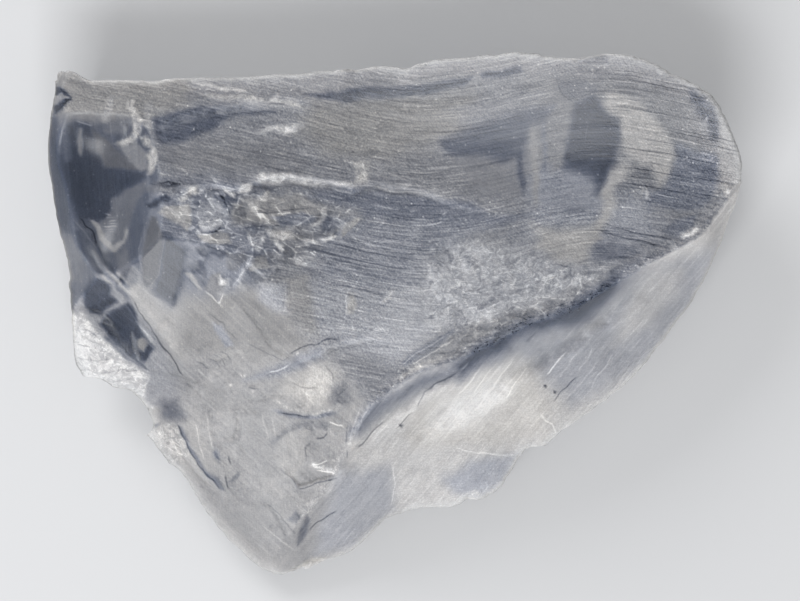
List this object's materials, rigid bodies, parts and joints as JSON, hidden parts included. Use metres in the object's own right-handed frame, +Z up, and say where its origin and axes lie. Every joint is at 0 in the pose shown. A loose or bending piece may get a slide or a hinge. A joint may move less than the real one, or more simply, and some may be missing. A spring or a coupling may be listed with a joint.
{
  "type": "petalite specimen",
  "caption": "Loose see-through shard of petalite with hollow, crested fracture faces, lying on its flat cleavage face, for display or study.",
  "frame": {"origin": "on the surface that the stone lies on, under the middle of its bounding box", "axes": "+X along the long straight edge, towards the broad rounded end; +Y across the stone, towards the long straight edge; +Z up, away from the flat cleavage face that it lies on"},
  "size_m": [0.0696, 0.0525, 0.018],
  "materials": {
    "petalite": "glassy broken crystal, clear to milky, bluish grey with white crushed edges"
  },
  "bodies": {
    "root": {"petalite": "petalite"}
  },
  "joints": []
}
